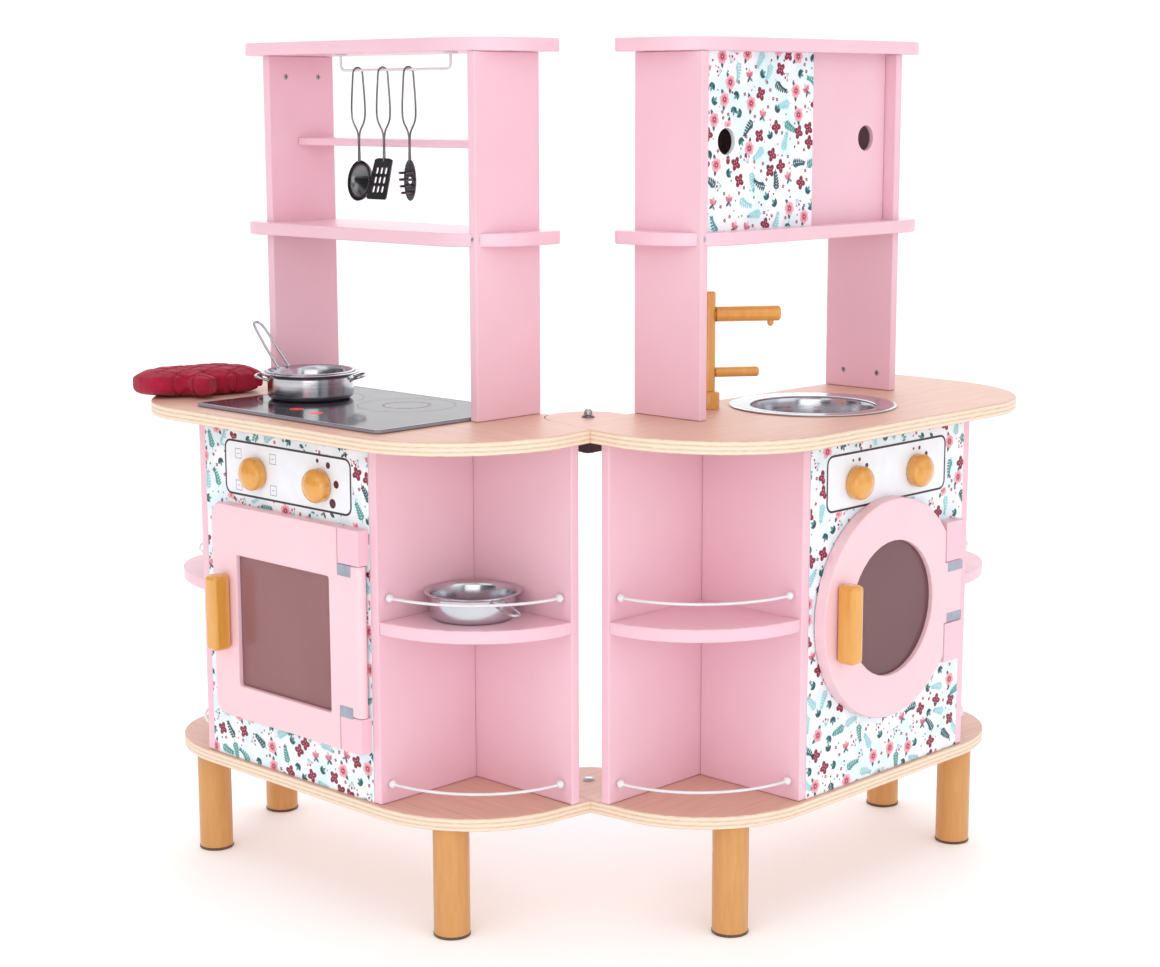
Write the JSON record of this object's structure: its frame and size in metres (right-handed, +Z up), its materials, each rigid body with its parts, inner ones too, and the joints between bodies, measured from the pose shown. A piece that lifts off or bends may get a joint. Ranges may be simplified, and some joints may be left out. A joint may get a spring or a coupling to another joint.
{
  "type": "toy kitchen",
  "caption": "Wooden play kitchen in two corner units on a pivot: a cooker with oven, hob, pots and utensils, and a sink unit with tap, washer door and sliding-door cupboard.",
  "frame": {"origin": "bottom centre of the kitchen's bounding box, on the floor", "axes": "+Z up; +X to the viewer's right along the length of the pair of units, -Y towards the viewer who stands in front of the corner"},
  "size_m": [1.0926, 0.5674, 1],
  "materials": {
    "pink_lacquer": "smooth satin lacquer on board",
    "plywood": "satin varnished plywood with pale edges",
    "ochre_wood": "satin stained wood",
    "printed_board": "white satin board with a floral print",
    "thin_steel": "polished thin sheet and wire",
    "bolt_steel": "bright plated",
    "white_wire": "white powder coat",
    "tinted_pane": "clear tinted sheet",
    "hob_plate": "gloss printed plate",
    "crimson_cloth": "quilted cotton"
  },
  "bodies": {
    "cooker_module": {"cooker_bottom_board": "plywood", "cooker_back_board": "pink_lacquer", "cooker_inner_side": "pink_lacquer", "cooker_outer_side": "pink_lacquer", "cooker_inner_shelf": "pink_lacquer", "cooker_outer_shelf": "pink_lacquer", "cooker_leg_outer_front": "ochre_wood", "cooker_leg_outer_back": "ochre_wood", "cooker_leg_inner_front": "ochre_wood", "cooker_worktop": "plywood", "cooker_inner_post": "pink_lacquer", "cooker_outer_post": "pink_lacquer", "cooker_middle_shelf": "pink_lacquer", "cooker_top_board": "pink_lacquer", "cooker_front_panel": "printed_board", "cooker_small_shelf": "pink_lacquer", "hob": "hob_plate", "utensil_rail": "white_wire", "pivot_block": "plywood", "pivot_bolt_upper": "bolt_steel", "pivot_bolt_lower": "bolt_steel"},
    "sink_module": {"sink_bottom_board": "plywood", "sink_back_board": "pink_lacquer", "sink_inner_side": "pink_lacquer", "sink_outer_side": "pink_lacquer", "sink_inner_shelf": "pink_lacquer", "sink_outer_shelf": "pink_lacquer", "sink_leg_outer_front": "ochre_wood", "sink_leg_outer_back": "ochre_wood", "sink_leg_inner_front": "ochre_wood", "sink_worktop": "plywood", "sink_inner_post": "pink_lacquer", "sink_outer_post": "pink_lacquer", "sink_middle_shelf": "pink_lacquer", "sink_top_board": "pink_lacquer", "sink_front_panel": "printed_board", "sink_bowl": "thin_steel", "tap_base": "ochre_wood", "cupboard_back": "pink_lacquer"},
    "oven_door": {"oven_door": "pink_lacquer", "oven_window": "tinted_pane", "oven_handle": "ochre_wood"},
    "washer_door": {"washer_door": "pink_lacquer", "washer_window": "tinted_pane", "washer_handle": "ochre_wood"},
    "oven_knob_inner": {"oven_knob_inner": "ochre_wood"},
    "oven_knob_outer": {"oven_knob_outer": "ochre_wood"},
    "washer_knob_inner": {"washer_knob_inner": "ochre_wood"},
    "washer_knob_outer": {"washer_knob_outer": "ochre_wood"},
    "print_door": {"sliding_door_print": "printed_board"},
    "plain_door": {"sliding_door_plain": "pink_lacquer"},
    "tap": {"tap_column": "ochre_wood"},
    "tap_lever": {"tap_lever": "ochre_wood"},
    "ladle": {"ladle": "thin_steel"},
    "spatula": {"spatula": "thin_steel"},
    "pasta_server": {"pasta_server": "thin_steel"},
    "pot": {"pot": "thin_steel"},
    "skillet": {"skillet": "thin_steel"},
    "shelf_pan": {"shelf_pan": "thin_steel"},
    "oven_mitt": {"oven_mitt": "crimson_cloth"}
  },
  "joints": [
    {"name": "module_pivot", "type": "hinge", "parent": "cooker_module", "child": "sink_module", "pos_m": [0.01794, -0.09868, 0], "axis": [0, 0, 1], "range_deg": [0, 90]},
    {"name": "oven_door_hinge", "type": "hinge", "parent": "cooker_module", "child": "oven_door", "pos_m": [-0.2398, -0.17964, 0.333], "axis": [0, 0, 1], "range_deg": [0, 110]},
    {"name": "washer_door_hinge", "type": "hinge", "parent": "sink_module", "child": "washer_door", "pos_m": [0.46342, 0.00809, 0.348], "axis": [0, 0, 1], "range_deg": [0, 110]},
    {"name": "oven_knob_inner_turn", "type": "hinge", "parent": "cooker_module", "child": "oven_knob_inner", "pos_m": [-0.28612, -0.12131, 0.502], "axis": [-0.7071, -0.7071, 0], "continuous": true},
    {"name": "oven_knob_outer_turn", "type": "hinge", "parent": "cooker_module", "child": "oven_knob_outer", "pos_m": [-0.36885, -0.03858, 0.502], "axis": [-0.7071, -0.7071, 0], "continuous": true},
    {"name": "washer_knob_inner_turn", "type": "hinge", "parent": "sink_module", "child": "washer_knob_inner", "pos_m": [0.322, -0.12131, 0.502], "axis": [0.7071, -0.7071, 0], "continuous": true},
    {"name": "washer_knob_outer_turn", "type": "hinge", "parent": "sink_module", "child": "washer_knob_outer", "pos_m": [0.40473, -0.03858, 0.502], "axis": [0.7071, -0.7071, 0], "continuous": true},
    {"name": "print_door_slide", "type": "slide", "parent": "sink_module", "child": "print_door", "axis": [0.7071, 0.7071, 0], "range_m": [0, 0.15]},
    {"name": "plain_door_slide", "type": "slide", "parent": "sink_module", "child": "plain_door", "axis": [-0.7071, -0.7071, 0], "range_m": [0, 0.15]},
    {"name": "tap_turn", "type": "hinge", "parent": "sink_module", "child": "tap", "pos_m": [0.15936, -0.02797, 0.575], "axis": [0, 0, 1], "range_deg": [-60, 60]},
    {"name": "tap_lever_turn", "type": "hinge", "parent": "tap", "child": "tap_lever", "pos_m": [0.15936, -0.02797, 0.6173], "axis": [0.9888, 0.1492, 0], "range_deg": [-45, 45]},
    {"name": "ladle_swing", "type": "hinge", "parent": "cooker_module", "child": "ladle", "pos_m": [-0.24793, 0.03708, 0.9665], "axis": [-0.7071, 0.7071, 0], "range_deg": [-8, 45]},
    {"name": "spatula_swing", "type": "hinge", "parent": "cooker_module", "child": "spatula", "pos_m": [-0.21647, 0.00562, 0.9665], "axis": [-0.7071, 0.7071, 0], "range_deg": [-8, 45]},
    {"name": "pasta_server_swing", "type": "hinge", "parent": "cooker_module", "child": "pasta_server", "pos_m": [-0.185, -0.02585, 0.9665], "axis": [-0.7071, 0.7071, 0], "range_deg": [-8, 45]},
    {"name": "pot_lift", "type": "slide", "parent": "cooker_module", "child": "pot", "axis": [0, 0, 1], "range_m": [0, 0.05]},
    {"name": "skillet_lift", "type": "slide", "parent": "pot", "child": "skillet", "axis": [0, 0, 1], "range_m": [0, 0.04]},
    {"name": "shelf_pan_lift", "type": "slide", "parent": "cooker_module", "child": "shelf_pan", "axis": [0, 0, 1], "range_m": [0, 0.1]},
    {"name": "oven_mitt_lift", "type": "slide", "parent": "cooker_module", "child": "oven_mitt", "axis": [0, 0, 1], "range_m": [0, 0.15]}
  ]
}
